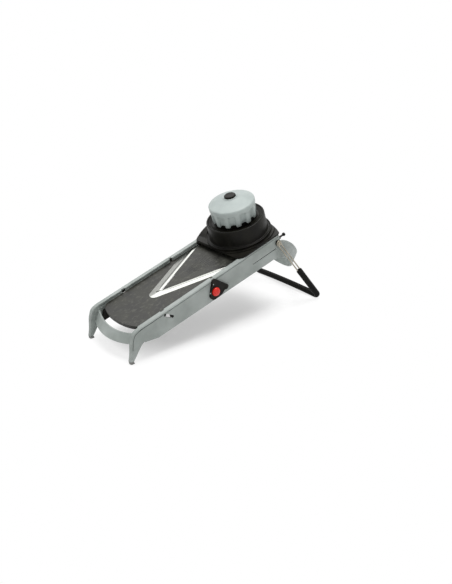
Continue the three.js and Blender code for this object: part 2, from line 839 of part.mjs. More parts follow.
const flangeLevel = fit + carriageThickness + 0.3;
function hopper() {
  const profile = [
    [hopperBore, flangeLevel],
    [flangeRadius - 0.5, flangeLevel],
    [flangeRadius, flangeLevel + 0.6],
    [flangeRadius, flangeLevel + 2.6],
    [flangeRadius - 0.7, flangeLevel + 3.3],
    [flangeRadius - 1.6, flangeLevel + 2.9],
    [flangeRadius - 2.2, flangeLevel + 2.1],
    [hopperRadius + 1.2, flangeLevel + 2.1],
    [hopperRadius, flangeLevel + 3.6],
    [hopperRadius - 0.4, hopperTop - 0.9],
    [hopperRadius - 1.2, hopperTop],
    [hopperBore + 0.9, hopperTop],
    [hopperBore, hopperTop - 0.9],
  ];
  return turned(profile, [hopperStation, 0], 48);
}

add("carriage_plate", carriagePlate(), materials.blackPlastic);
add("hopper", hopper(), materials.blackPlastic);

// ---- Pusher: keyed sleeve, plunger with its pins, knob and centre button ----
const sleeveOuter = hopperBore - 0.5;
const sleeveTop = 37.4;
const plungerBottom = -0.4;
const plungerRadius = sleeveOuter - 4.4;
const plungerTube = knobRadius - 7;

function pusherSleeve() {
  const inner = plungerTube + 1;
  return turned(
    [
      [plungerRadius + 0.5, 3.4],
      [sleeveOuter, 3.4],
      [sleeveOuter, sleeveTop - 0.5],
      [sleeveOuter - 0.5, sleeveTop],
      [sleeveOuter - 5.9, sleeveTop - 2.5],
      [inner, sleeveTop - 3],
      [inner, sleeveTop - 6],
      [plungerRadius + 0.5, sleeveTop - 8],
    ],
    [hopperStation, 0],
    48,
  );
}

function plunger() {
  return turned(
    [
      [0, plungerBottom],
      [plungerRadius, plungerBottom],
      [plungerRadius, 3],
      [plungerTube, 5],
      [plungerTube, knobRim - 6],
      [plungerTube - 3, knobRim - 6],
      [plungerTube - 3, 4],
      [0, 4],
    ],
    [hopperStation, 0],
    48,
  );
}

function pinPlate() {
  const top = plungerBottom - 0.3;
  const disc = turned(
    [[0, top - 1.2], [sleeveOuter - 8.5, top - 1.2], [sleeveOuter - 8.5, top], [0, top]],
    [hopperStation, 0],
    48,
  );
  const pins = [];
  for (const [radius, count] of [[0, 1], [15, 6], [31, 10]])
    for (let i = 0; i < count; i++) {
      const angle = (2 * Math.PI * i) / count;
      const at = [hopperStation + radius * Math.cos(angle), radius * Math.sin(angle)];
      pins.push(turned([[0, plateLevel + 0.7], [1.1, top - 1], [0, top - 1]], at, 8));
    }
  return join(disc, ...pins);
}

// How deep a flute is over one pitch, from the middle of a flute to the middle of a lobe.
const fluteSection = [1, 0.9, 0.36, 0, -0.1];

// A shell of rings: the roof and the bore inside, the fluted skirt, the rim and the domed top outside.
function knob() {
  const pitch = 2 * (fluteSection.length - 1);
  const points = pitch * fluteCount;
  const ring = (radius, level, depth = 0, arch = 0) =>
    Array.from({ length: points }, (_, i) => {
      const angle = (2 * Math.PI * i) / points;
      const place = (i + pitch / 2) % pitch; // a lobe stands on the x axis
      const share = fluteSection[Math.min(place, pitch - place)];
      const r = radius - depth * fluteDepth * share;
      const z = level + arch * Math.max(0, share);
      return new THREE.Vector3(hopperStation + r * Math.cos(angle), r * Math.sin(angle), z);
    });
  const inner = plungerTube + 0.6;
  const bottom = knobSkirtBottom;
  return loft([
    ring(centreButtonRadius - 4, knobRoof),
    ring(knobRadius * 0.53, knobRoof - 2),
    ring(inner, knobRim - 3.5),
    ring(inner, bottom + 1, 0, 2.4),
    ring(knobRadius - 3, bottom, 0.5, 3.2),
    ring(knobRadius - 2.2, bottom + 0.8, 0.85, 3.2),
    ring(knobRadius - 1.3, knobRim - 11.5, 1, 3),
    ring(knobRadius - 0.9, knobRim - 9.6, 0.62, 3),
    ring(knobRadius - 0.5, knobRim - 8.6, 0.05, 3),
    ring(knobRadius, knobRim - 5),
    ring(knobRadius, knobRim - 0.9),
    ring(knobRadius - 1, knobRim + 1.1),
    ring(knobRadius * 0.87, knobRim + knobDome * 0.3),
    ring(knobRadius * 0.68, knobRim + knobDome * 0.56),
    ring(knobRadius * 0.48, knobRim + knobDome * 0.79),
    ring(centreButtonRadius + 2.8, knobTop - 1.6),
    ring(centreButtonRadius + 1.8, knobTop - 0.4),
    ring(centreButtonRadius + 1, knobTop),
    ring(centreButtonRadius - 4, knobTop),
  ]);
}
const knobTop = knobRim + knobDome + 1.7;
const knobRoof = knobTop - 8;
const buttonPocketFloor = knobTop - centreButtonTravel - 0.6;
const buttonSpringHeight = 5.4;

// What the knob loses to its button: a pocket in the top and a hole for the stem.
function buttonPocket() {
  const [stem, rim] = [centreStemRadius + 0.4, centreButtonRadius + 0.4];
  const profile = [
    [0, 40],
    [stem, 40],
    [stem, buttonPocketFloor],
    [rim, buttonPocketFloor],
    [rim, 90],
    [0, 90],
  ];
  return turned(profile, [hopperStation, 0], 40);
}

function centreButton() {
  const base = buttonPocketFloor + centreButtonTravel + 0.3;
  const top = knobTop + centreButtonHeight;
  const [r, stem] = [centreButtonRadius, centreStemRadius];
  const springSeat = buttonPocketFloor + buttonSpringHeight;
  return turned(
    [
      [0, knobRoof - 3],
      [stem + 1.4, knobRoof - 3],
      [stem + 1.4, knobRoof - 0.4],
      [stem, knobRoof - 0.4],
      [stem, springSeat],
      [r - 2, springSeat],
      [r - 2, base],
      [r, base],
      [r, top - 1.6],
      [r - 1.6, top - 0.6],
      [0, top],
    ],
    [hopperStation, 0],
    40,
  );
}

function centreSpring() {
  const radius = (centreButtonRadius - 2 + centreStemRadius) / 2;
  const spring = coil(radius, 0.5, 3, buttonPocketFloor + 0.2, buttonPocketFloor + buttonSpringHeight - 0.2);
  return spring.translate([hopperStation, 0, 0]);
}

add("pusher_sleeve", pusherSleeve(), materials.blackPlastic);
add("plunger", plunger(), materials.blackPlastic);
add("pin_plate", pinPlate(), materials.steel);
add("pusher_knob", cut(knob(), buttonPocket()), materials.knobPlastic);
add("centre_button", centreButton(), materials.blackPlastic);
add("centre_spring", centreSpring(), materials.steel);

// ---- Folding stand ----
// The stand is drawn flat: its own x runs down the legs from the pivot, y across, z square to its plane.
const pivotHeight =
  originHeight + standPivotStation * Math.sin(deckTilt) + standPivotLevel * Math.cos(deckTilt);
const halfFoot = Math.hypot(
  (sleeveWidth / 2) * Math.sin(standLean),
  (sleeveDepth / 2) * Math.cos(standLean),
);
const legLength = (pivotHeight - halfFoot) / Math.cos(standLean);

// The legs run straight past the eye and then splay out to the foot.
const splayStart = eyeRadius * 2.6;
const splaySlope = (footHalf - standPlane) / (legLength - sleeveBend - splayStart);
const onLeg = (x, z = 0) =>
  new THREE.Vector3(x, standPlane + splaySlope * Math.max(0, x - splayStart), z);

// Points of the sleeve's path: down one leg, across the arched foot and up the other.
function standPath() {
  const half = [onLeg(standBareLength), onLeg((standBareLength + legLength) / 2)];
  const [centre, splay] = [footHalf - sleeveBend, Math.atan(splaySlope)];
  const rise = Math.atan((2 * footArch) / centre);
  const steps = 7;
  for (let i = 0; i <= steps; i++) {
    const turn = (i / steps) * (Math.PI / 2 + splay + rise) - splay;
    const [x, y] = [Math.sin(turn), Math.cos(turn)];
    half.push(new THREE.Vector3(legLength - sleeveBend * (1 - x), centre + sleeveBend * y, 0));
  }
  for (const y of [centre * 0.72, centre * 0.4])
    half.push(new THREE.Vector3(legLength - footArch * (1 - (y / centre) ** 2), y, 0));
  const back = half.map((p) => new THREE.Vector3(p.x, -p.y, 0)).reverse();
  return [...half, new THREE.Vector3(legLength - footArch, 0, 0), ...back];
}

// One leg's wire: from inside the sleeve up round the pivot's eye and back again.
function wirePath() {
  const half = wireGap / 2;
  const end = standBareLength + wireInSleeve;
  const points = [onLeg(end, half), onLeg(splayStart, half)];
  for (let angle = 54; angle <= 306; angle += 21) {
    const [x, z] = [Math.cos(angle * degree), Math.sin(angle * degree)];
    points.push(onLeg(eyeRadius * x, eyeRadius * z));
  }
  return [...points, onLeg(splayStart, -half), onLeg(end, -half)];
}

const wireInSleeve = 11;
const standWire = tube(wirePath(), across, wireRadius, wireRadius, 8);
function standSleeve() {
  const sleeve = tube(standPath(), up, sleeveDepth / 2, sleeveWidth / 2, 18);
  const bore = (z) => {
    const [from, to] = [onLeg(standBareLength - 4, z), onLeg(standBareLength + wireInSleeve + 1, z)];
    return tube([from, to], across, wireRadius + 0.3, wireRadius + 0.3, 12);
  };
  const bores = join(bore(wireGap / 2), bore(-wireGap / 2));
  return cut(sleeve, bothSides(bores));
}

const stand = new THREE.Group();
stand.position.set(standPivotStation, 0, standPivotLevel);
stand.rotation.y = Math.PI / 2 - standLean + deckTilt;
bench.add(stand);
for (const [name, solid, finish] of [
  ["stand_sleeve", standSleeve(), materials.rubber],
  ["stand_wire_far", standWire, materials.steel],
  ["stand_wire_near", mirrored(standWire), materials.steel],
]) {
  const mesh = new THREE.Mesh(toGeometry(solid), finish);
  mesh.name = name;
  stand.add(mesh);
}

function pivotScrew() {
  const [shankEnd, headFace] = [halfSpan - 4.4, standPlane + 1.6];
  const shank = crossRod(
    pivotHoleRadius - 0.4,
    standPivotStation,
    standPivotLevel,
    shankEnd,
    headFace + 0.1,
    20,
  );
  return join(shank, crossRod(3.9, standPivotStation, standPivotLevel, headFace, headFace + 1.4, 24));
}
function pivotBush() {
  const [from, to] = [halfSpan + 0.3, standPlane - wireRadius - 0.3];
  return cut(
    crossRod(5.4, standPivotStation, standPivotLevel, from, to, 28),
    crossRod(2.8, standPivotStation, standPivotLevel, from - 1, to + 1, 20),
  );
}
addPair("pivot_screw", pivotScrew(), materials.steel);
addPair("pivot_bush", pivotBush(), materials.rubber);

// ---- Assembly ----
bench.rotation.y = -deckTilt;
bench.position.z = originHeight;
const group = new THREE.Group();
group.add(bench);
group.updateMatrixWorld(true);
const bounds = new THREE.Box3().setFromObject(group, true);
group.position.x = -(bounds.min.x + bounds.max.x) / 2;

export default group;
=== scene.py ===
import json
import math

import bmesh
import bpy
from mathutils import Matrix, Vector


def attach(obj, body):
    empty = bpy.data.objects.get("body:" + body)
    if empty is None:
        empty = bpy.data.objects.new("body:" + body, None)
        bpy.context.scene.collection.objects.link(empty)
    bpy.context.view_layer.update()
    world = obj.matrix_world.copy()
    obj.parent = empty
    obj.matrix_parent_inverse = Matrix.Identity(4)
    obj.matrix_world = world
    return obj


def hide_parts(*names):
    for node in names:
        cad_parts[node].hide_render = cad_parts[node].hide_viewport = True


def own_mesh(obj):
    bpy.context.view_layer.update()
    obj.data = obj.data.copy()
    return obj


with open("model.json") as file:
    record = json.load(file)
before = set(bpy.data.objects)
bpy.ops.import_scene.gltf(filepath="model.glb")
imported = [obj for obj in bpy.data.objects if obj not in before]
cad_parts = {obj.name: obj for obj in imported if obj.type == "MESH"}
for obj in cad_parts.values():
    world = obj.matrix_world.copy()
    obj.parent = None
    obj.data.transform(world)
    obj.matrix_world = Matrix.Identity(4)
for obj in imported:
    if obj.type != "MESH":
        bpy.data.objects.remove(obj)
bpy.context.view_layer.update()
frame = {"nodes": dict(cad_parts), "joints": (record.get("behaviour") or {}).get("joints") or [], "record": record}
print("frame loaded:", len(frame["nodes"]), "nodes")

# Sizes below are in millimetres in the bench frame: x runs up the rails from above the front feet,
# y across them to the far side, z square off the rails' top faces.
mm = 0.001
bench = {
    "pivotStation": 339.2, "pivotLevel": -13,  # the stand's pivots
    "axisStation": 309.6,  # the hopper's and pusher's axis
    "lockStation": 186.3, "lockLevel": -21.5,  # the red button
    "halfSpan": 65,  # out to the rails' outer faces
}

joints = {joint["name"]: joint for joint in frame["joints"]}
bodies = frame["record"]["behaviour"]["bodies"]
bodyOf = {node: body for body, nodes in bodies.items() for node in nodes}
railRun = -Vector(joints["carriage_slide"]["axis"]).normalized()
railCross = Vector((0, 1, 0))
railLift = railRun.cross(railCross)
benchTurn = Matrix((railRun, railCross, railLift)).transposed()
standPivot = Vector((bench["pivotStation"], 0, bench["pivotLevel"])) * mm
benchPlace = benchTurn.to_4x4()
benchPlace.translation = Vector(joints["stand_fold"]["pos_m"]) - benchTurn @ standPivot
benchInverse = benchPlace.inverted()


def tint(code):
    # a written colour as Blender's linear one
    def linear(part):
        return part / 12.92 if part <= 0.04045 else ((part + 0.055) / 1.055) ** 2.4

    return (*[linear(int(code[i:i + 2], 16) / 255) for i in (1, 3, 5)], 1.0)


class Wire:
    # a socket that takes part in Python expressions
    def __init__(self, shader, socket):
        self.shader = shader
        self.socket = socket

    def maths(self, operation, *values):
        return self.shader.node("Math", {"operation": operation}, dict(enumerate(values)))

    def __add__(self, other):
        return self.maths("ADD", self, other)

    def __radd__(self, other):
        return self.maths("ADD", other, self)

    def __sub__(self, other):
        return self.maths("SUBTRACT", self, other)

    def __rsub__(self, other):
        return self.maths("SUBTRACT", other, self)

    def __mul__(self, other):
        return self.maths("MULTIPLY", self, other)

    def __rmul__(self, other):
        return self.maths("MULTIPLY", other, self)

    def __pow__(self, other):
        return self.maths("POWER", self, other)

    def size(self):
        return self.maths("ABSOLUTE", self)

    def larger(self, other):
        return self.maths("MAXIMUM", self, other)

    def fade(self, low, high):
        # 0 below low, 1 above high, smooth between
        settings = {"interpolation_type": "SMOOTHSTEP"}
        return self.shader.node("MapRange", settings, {0: self, 1: low, 2: high, 3: 0.0, 4: 1.0})


class Shader:
    def __init__(self, owner):
        owner.use_nodes = True
        self.owner = owner
        self.tree = owner.node_tree

    def connect(self, made, sockets):
        for key, value in (sockets or {}).items():
            if isinstance(value, Wire):
                self.tree.links.new(value.socket, made.inputs[key])
            else:
                made.inputs[key].default_value = value

    def node(self, kind, settings=None, sockets=None, output=0):
        made = self.tree.nodes.new("ShaderNode" + kind)
        for key, value in (settings or {}).items():
            setattr(made, key, value)
        self.connect(made, sockets)
        return Wire(self, made.outputs[output])

    def mix(self, factor, first, second):
        return self.node("Mix", {"data_type": "RGBA"}, {0: factor, 6: first, 7: second}, 2)

    def here(self, stretch=None):
        # where the point is in the bench frame while its piece is at rest
        spot = self.node("TexCoord", output="Object")
        place = {0: spot, 1: benchInverse.translation, 2: benchInverse.to_euler()}
        spot = self.node("Mapping", {"vector_type": "POINT"}, place)
        if stretch:
            spot = self.node("VectorMath", {"operation": "MULTIPLY"}, {0: spot, 1: stretch})
        return spot

    def part(self, vector, axis):
        return self.node("SeparateXYZ", None, {0: vector}, axis)

    def noise(self, spot, scale, detail=2.0, roughness=0.5):
        values = {"Vector": spot, "Scale": scale, "Detail": detail, "Roughness": roughness}
        return self.node("TexNoise", None, values)

    def bump(self, height, depth, strength=1.0):
        return self.node("Bump", None, {"Height": height, "Distance": depth, "Strength": strength})

    def finish(self, **sockets):
        surface = self.tree.nodes["Principled BSDF"]
        names = {name.replace(" ", ""): name for name in surface.inputs.keys()}
        self.connect(surface, {names[key]: value for key, value in sockets.items()})
        return self.owner


scuffStretch = (0.7, 1, 1)  # scuffs are longer up the rails than across them


def mouldedPlastic(name, look):
    # cloudy resin colour, fine spark-eroded grain, and faint scuffs
    shader = Shader(bpy.data.materials.new(name))
    spot = shader.here()
    cloud = shader.noise(spot, look["cloud"], 3.0).fade(0.32, 0.68)
    grain = shader.noise(spot, look["grain"], 2.0)
    scuff = shader.noise(shader.here(scuffStretch), look["scuff"], 4.0, 0.7).fade(0.5, 0.72)
    colour = shader.mix(cloud, tint(look["dark"]), tint(look["light"]))
    colour = shader.mix(grain.fade(0.62, 0.8) * look["speck"], colour, tint(look["fleck"]))
    colour = shader.mix(scuff * look["scuffTint"], colour, tint(look["fleck"]))
    roughness = look["roughness"] + look["spread"] * (cloud - 0.5) + look["scuffRoughness"] * scuff
    return shader.finish(
        BaseColor=colour,
        Roughness=roughness,
        Normal=shader.bump(grain, look["depth"]),
        IOR=look["ior"],
        CoatWeight=look["coat"],
        CoatRoughness=0.2,
    )


def rubber(name, look):
    # matt and fine-grained, with a little dust on it
    shader = Shader(bpy.data.materials.new(name))
    spot = shader.here()
    cloud = shader.noise(spot, look["cloud"], 3.0).fade(0.3, 0.7)
    grain = shader.noise(spot, look["grain"], 3.0)
    dust = shader.noise(spot, look["dust"], 5.0, 0.7).fade(0.52, 0.8)
    colour = shader.mix(cloud, tint(look["dark"]), tint(look["light"]))
    colour = shader.mix(dust * look["dustShade"], colour, tint(look["dustTint"]))
    normal = shader.bump(grain, look["depth"])
    roughness = look["roughness"] + look["dustRoughness"] * dust
    return shader.finish(BaseColor=colour, Roughness=roughness, Normal=normal, IOR=look["ior"])


def groundSteel(name, look):
    # polished along both arms of the V, each arm shaded as if it sloped a little to its outer side,
    # with a painted shade line where the bevel starts behind the cutting edge
    shader = Shader(bpy.data.materials.new(name))
    spot = shader.here()
    x, y = shader.part(spot, "X"), shader.part(spot, "Y")
    blend = look["noseBlend"]  # the arms' finishes run into each other over the nose
    side = (y * y + blend ** 2) ** 0.5
    angle = math.radians(look["armAngle"])
    along = x * math.cos(angle) + side * math.sin(angle)
    over = side * math.cos(angle) - x * math.sin(angle)
    farArm = y.fade(-0.001, 0.001)  # keeps the two arms' scratches apart
    lines = shader.node("CombineXYZ", None, {0: along * look["stretch"], 1: over, 2: farArm})
    brushed = shader.noise(lines, look["scratch"], 3.0, 0.65)
    smear = shader.noise(spot, look["smear"], 3.0).fade(0.35, 0.7)
    colour = shader.mix(brushed.fade(0.3, 0.7), tint(look["dark"]), tint(look["light"]))
    edge = -look["apex"] * math.sin(angle)  # the cutting edge, measured square to an arm
    # painted shade: a dark line in the colour where the bevel starts
    offLine = (over - (edge + look["lineAt"])).size()
    line = 1 - offLine.fade(look["lineHalf"] * 0.4, look["lineHalf"])
    line = line * y.size().fade(blend, 3 * blend)
    colour = shader.mix(line * look["lineShade"], colour, tint(look["lineTint"]))
    roughness = look["roughness"] + look["spread"] * (brushed - 0.5)
    roughness = roughness + look["smearRoughness"] * smear
    height = brushed * look["scratchDepth"] - over * math.tan(math.radians(look["lean"]))
    return shader.finish(
        BaseColor=colour, Roughness=roughness, Metallic=1.0, Normal=shader.bump(height, 1.0)
    )


def drawnSteel(name, look):
    # bright wire and turned steel, faintly clouded
    shader = Shader(bpy.data.materials.new(name))
    spot = shader.here()
    cloud = shader.noise(spot, look["cloud"], 3.0).fade(0.3, 0.7)
    fine = shader.noise(spot, look["grain"], 3.0)
    colour = shader.mix(cloud, tint(look["dark"]), tint(look["light"]))
    roughness = look["roughness"] + look["spread"] * (fine - 0.5) + look["cloudRoughness"] * cloud
    normal = shader.bump(fine, look["depth"], strength=0.5)
    return shader.finish(BaseColor=colour, Roughness=roughness, Metallic=1.0, Normal=normal)


plasticLooks = {  # cloud, grain and scuff are noise scales, depth is in metres
    "grey_plastic": {
        "light": "#9da3a0", "dark": "#8a918d", "fleck": "#b6bcb8", "speck": 0.16, "cloud": 26.0,
        "grain": 1500.0, "scuff": 120.0, "scuffTint": 0.06, "roughness": 0.42, "spread": 0.08,
        "scuffRoughness": 0.1, "depth": 0.00003, "coat": 0.05, "ior": 1.4,
    },
    "pale_plastic": {
        "light": "#a9b2af", "dark": "#9ea7a5", "fleck": "#c6cdcb", "speck": 0.12, "cloud": 30.0,
        "grain": 1700.0, "scuff": 150.0, "scuffTint": 0.05, "roughness": 0.4, "spread": 0.06,
        "scuffRoughness": 0.08, "depth": 0.000025, "coat": 0.06, "ior": 1.4,
    },
    "charcoal_plastic": {
        "light": "#2e2e28", "dark": "#191916", "fleck": "#7c7c73", "speck": 0.4, "cloud": 34.0,
        "grain": 900.0, "scuff": 150.0, "scuffTint": 0.28, "roughness": 0.4, "spread": 0.1,
        "scuffRoughness": 0.12, "depth": 0.00005, "coat": 0.0, "ior": 1.36,
    },
    "black_plastic": {
        "light": "#181712", "dark": "#0d0c0a", "fleck": "#33312a", "speck": 0.2, "cloud": 40.0,
        "grain": 1300.0, "scuff": 110.0, "scuffTint": 0.1, "roughness": 0.38, "spread": 0.08,
        "scuffRoughness": 0.12, "depth": 0.00004, "coat": 0.0, "ior": 1.24,
    },
    "red_plastic": {
        "light": "#e02c1d", "dark": "#cc1d12", "fleck": "#e2483f", "speck": 0.1, "cloud": 70.0,
        "grain": 1900.0, "scuff": 200.0, "scuffTint": 0.05, "roughness": 0.24, "spread": 0.05,
        "scuffRoughness": 0.08, "depth": 0.00001, "coat": 0.15, "ior": 1.38,
    },
}
rubberBase = {
    "cloud": 35.0, "grain": 2600.0, "dust": 160.0, "dustShade": 0.25, "dustRoughness": 0.1,
    "depth": 0.00005,
}
rubberLooks = {
    "black_rubber": {
        **rubberBase, "dark": "#0c0c0b", "light": "#141413", "dustTint": "#2b2b27",
        "roughness": 0.6, "ior": 1.2,
    },
    "grey_rubber": {
        **rubberBase, "dark": "#747573", "light": "#80817e", "dustTint": "#9a9a96",
        "roughness": 0.7, "ior": 1.45,
    },
}
bladeLook = {  # angles in degrees, places in metres from the bench frame's middle line
    "dark": "#9b9c98", "light": "#b3b4af", "roughness": 0.17, "spread": 0.14, "smear": 28.0,
    "smearRoughness": 0.05, "armAngle": 22.5, "lean": 7.2, "noseBlend": 0.004, "stretch": 0.03,
    # lineAt, lineHalf, lineShade and lineTint set the painted shade line where the bevel starts
    "scratch": 2600.0, "scratchDepth": 0.000006, "apex": 0.1252, "lineAt": 0.0066,
    "lineHalf": 0.001, "lineShade": 0.95, "lineTint": "#4b4c4a",
}
steelLook = {
    "dark": "#8a8578", "light": "#aaa497", "roughness": 0.12, "spread": 0.1, "cloud": 60.0,
    "cloudRoughness": 0.06, "grain": 1800.0, "depth": 0.00001,
}
finishes = {slot: mouldedPlastic(slot, look) for slot, look in plasticLooks.items()}
finishes.update({slot: rubber(slot, look) for slot, look in rubberLooks.items()})
finishes["blade_steel"] = groundSteel("blade_steel", bladeLook)
finishes["bright_steel"] = drawnSteel("bright_steel", steelLook)
print("finishes made:", len(finishes))


def newPiece(mesh, name, slot, nodes, smooth=35, place=benchPlace, stands=True):
    # the mesh is in metres in the bench frame, unless another place is given; smooth is in degrees;
    # the piece rides with the first node and, if it stands for the nodes, hides them
    mesh.transform(place)
    bmesh.ops.recalc_face_normals(mesh, faces=mesh.faces)
    data = bpy.data.meshes.new(name)
    mesh.to_mesh(data)
    mesh.free()
    data.polygons.foreach_set("use_smooth", [True] * len(data.polygons))
    data.set_sharp_from_angle(angle=math.radians(smooth))
    data.materials.append(finishes[slot])
    piece = bpy.data.objects.new(name, data)
    bpy.context.scene.collection.objects.link(piece)
    if stands:
        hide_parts(*nodes)
    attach(piece, bodyOf[nodes[0]])
    return piece


def softenEdges(piece, width, segments=2, angle=30):
    made = piece.modifiers.new("edges", "BEVEL")
    made.width = width * mm
    made.segments = segments
    made.limit_method = "ANGLE"
    made.angle_limit = math.radians(angle)
    made.use_clamp_overlap = True
    flat = piece.modifiers.new("flats", "WEIGHTED_NORMAL")
    flat.keep_sharp = True
    flat.weight = 50


cleaning = {"weld": 0.002, "flat": 0.5}  # millimetres and degrees


def fromNode(node, slot, edge):
    # a tidier copy of the node: one skin, flat faces whole, edges rounded
    mesh = bmesh.new()
    mesh.from_mesh(frame["nodes"][node].data)
    bmesh.ops.remove_doubles(mesh, verts=mesh.verts, dist=cleaning["weld"] * mm)
    bmesh.ops.dissolve_limit(
        mesh, angle_limit=math.radians(cleaning["flat"]), use_dissolve_boundaries=False,
        verts=mesh.verts, edges=mesh.edges,
    )
    softenEdges(newPiece(mesh, node + "_body", slot, [node], place=Matrix()), edge)


def filleted(profile, closed=True, steps=4):
    # rounds the corners of (radius, level, fillet) points
    count = len(profile)
    longest = 0.48  # share of an edge that a fillet may take, so that two never meet
    points = []
    for i, (radius, level, fillet) in enumerate(profile):
        here = Vector((radius, level))
        if fillet == 0 or (not closed and i in (0, count - 1)):
            points.append(here)
            continue
        before = Vector(profile[i - 1][:2]) - here
        after = Vector(profile[(i + 1) % count][:2]) - here
        half = before.angle(after) / 2
        reach = min(fillet / math.tan(half), before.length * longest, after.length * longest)
        start = here + before.normalized() * reach
        end = here + after.normalized() * reach
        for k in range(steps + 1):
            t = k / steps
            points.append(start * (1 - t) ** 2 + here * 2 * t * (1 - t) + end * t * t)
    return points


def spun(profile, segments, station=0.0, closed=True, wave=None):
    # a profile turned about an upright axis, in millimetres; wave may move each point by its angle;
    # a profile that isn't closed starts and ends on the axis
    mesh = bmesh.new()
    rings = []
    for radius, level in profile:
        if radius < 1e-6:
            rings.append([mesh.verts.new((station * mm, 0, level * mm))])
            continue
        ring = []
        for k in range(segments):
            angle = 2 * math.pi * k / segments
            r, z = wave(radius, level, angle) if wave else (radius, level)
            point = Vector((station + r * math.cos(angle), r * math.sin(angle), z))
            ring.append(mesh.verts.new(point * mm))
        rings.append(ring)
    pairs = list(zip(rings, rings[1:])) + ([(rings[-1], rings[0])] if closed else [])
    for lower, upper in pairs:
        for k in range(segments):
            n = (k + 1) % segments
            if len(lower) == 1:
                mesh.faces.new((lower[0], upper[n], upper[k]))
            elif len(upper) == 1:
                mesh.faces.new((lower[k], lower[n], upper[0]))
            else:
                mesh.faces.new((lower[k], lower[n], upper[n], upper[k]))
    return mesh


def swept(path, planeNormal, inPlane, acrossPlane, sides):
    # a rod of oval section along a path in millimetres, closed at its ends
    mesh = bmesh.new()
    rings = []
    for i, point in enumerate(path):
        run = path[min(len(path) - 1, i + 1)] - path[max(0, i - 1)]
        side = run.cross(planeNormal).normalized()
        ring = []
        for k in range(sides):
            angle = 2 * math.pi * k / sides
            flat, tall = inPlane * math.cos(angle), acrossPlane * math.sin(angle)
            ring.append(mesh.verts.new((point + side * flat + planeNormal * tall) * mm))
        rings.append(ring)
    for lower, upper in zip(rings, rings[1:]):
        for k in range(sides):
            n = (k + 1) % sides
            mesh.faces.new((lower[k], lower[n], upper[n], upper[k]))
    mesh.faces.new(reversed(rings[0]))
    mesh.faces.new(rings[-1])
    return mesh


def outward(station, level, side):
    # turns an upright shape to point out of a rail: side 1 is the far one, -1 the near one
    turn = Matrix.Rotation(-side * math.pi / 2, 4, "X")
    return Matrix.Translation(Vector((station, 0, level)) * mm) @ turn


copies = {  # node: finish, rounding of its edges
    "frame": ("grey_plastic", 0.2),
    "foot_sole_far": ("grey_rubber", 0.4),
    "foot_sole_near": ("grey_rubber", 0.4),
    "landing_plate": ("charcoal_plastic", 0.35),
    "v_blade": ("blade_steel", 0.12),
    "ramp_plate": ("charcoal_plastic", 0.35),
    "plate_cheek_far": ("black_plastic", 0.3),
    "plate_cheek_near": ("black_plastic", 0.3),
    "slot_clip_far": ("black_plastic", 0.2),
    "slot_clip_near": ("black_plastic", 0.2),
    "ramp_rod": ("bright_steel", 0.3),
    "thickness_shaft": ("bright_steel", 0.3),
    "cam_far": ("black_plastic", 0.3),
    "cam_near": ("black_plastic", 0.3),
    "thickness_lever": ("black_plastic", 0.35),
    "carriage_plate": ("black_plastic", 0.3),
    "plunger": ("black_plastic", 0.3),
    "pin_plate": ("bright_steel", 0.15),
    "pivot_bush_far": ("black_rubber", 0.3),
    "pivot_bush_near": ("black_rubber", 0.3),
}
for node, (slot, edge) in copies.items():
    fromNode(node, slot, edge)
print("moulded and ground pieces made:", len(copies))

rampRibs = {  # fine raised lines that fan up the ramp, so that food lifts off it
    "from": (171, 0), "half": 21, "count": 9, "start": 14, "stagger": 9, "end": 72,
    "level": -6.1, "width": 0.45, "crest": 0.3, "height": 0.18, "sunk": 0.1,
}


def makeRampRibs(shape):
    mesh = bmesh.new()
    base = Vector((*shape["from"], shape["level"]))
    rise, sunk = Vector((0, 0, shape["height"])), Vector((0, 0, -shape["sunk"]))
    for i in range(shape["count"]):
        angle = math.radians(shape["half"] * (2 * i / (shape["count"] - 1) - 1))
        run = Vector((math.cos(angle), math.sin(angle), 0))
        side = Vector((-run.y, run.x, 0)) * shape["width"] / 2
        crest = side * shape["crest"]
        section = (sunk - side, sunk + side, rise + crest, rise - crest)
        start = base + run * (shape["start"] + shape["stagger"] * (i % 2))
        end = base + run * shape["end"]
        first, last = ([mesh.verts.new((spot + q) * mm) for q in section] for spot in (start, end))
        for k in range(4):
            n = (k + 1) % 4
            mesh.faces.new((first[k], first[n], last[n], last[k]))
        mesh.faces.new(reversed(first))
        mesh.faces.new(last)
    newPiece(mesh, "ramp_ribs_body", "charcoal_plastic", ["ramp_plate"], stands=False)


makeRampRibs(rampRibs)

paintedGrooveShade = {  # the moulded lines in the rails' outer faces, painted darker as shade in them
    "light": "#3a3f3d", "dark": "#2b302e", "depth": 1.0, "slack": 0.1, "floor": 0.6,
    "endGap": 4,  # they stop this far short of the stand's pivots
}


def shadeGrooves(piece, shape):
    # painted shade: the grooves' faces take a darker copy of the grey plastic
    look = {**plasticLooks["grey_plastic"], "light": shape["light"], "dark": shape["dark"]}
    piece.data.materials.append(mouldedPlastic("groove_shade", look))
    outer, depth = bench["halfSpan"], shape["depth"]
    lowest, highest = outer - depth - shape["slack"], outer - depth * shape["floor"]
    spots = [benchInverse @ vert.co / mm for vert in piece.data.vertices]
    for face in piece.data.polygons:
        reach = [abs(spots[i].y) for i in face.vertices]
        cut = lowest < min(reach) < highest and max(reach) < outer + shape["slack"] / 2
        station = max(spots[i].x for i in face.vertices)
        if cut and station < bench["pivotStation"] - shape["endGap"]:
            face.material_index = 1


shadeGrooves(bpy.data.objects["frame_body"], paintedGrooveShade)

hopperShape = {  # radii, then levels
    "bore": 49, "wall": 52.9, "flange": 58.9,
    "bottom": 4.9, "bead": 8.2, "step": 7.0, "top": 38.5,
}
sleeveShape = {
    "outer": 48.5, "inner": 35.4, "bore": 44.6, "dish": 5.9,
    "bottom": 3.4, "top": 37.4,
}


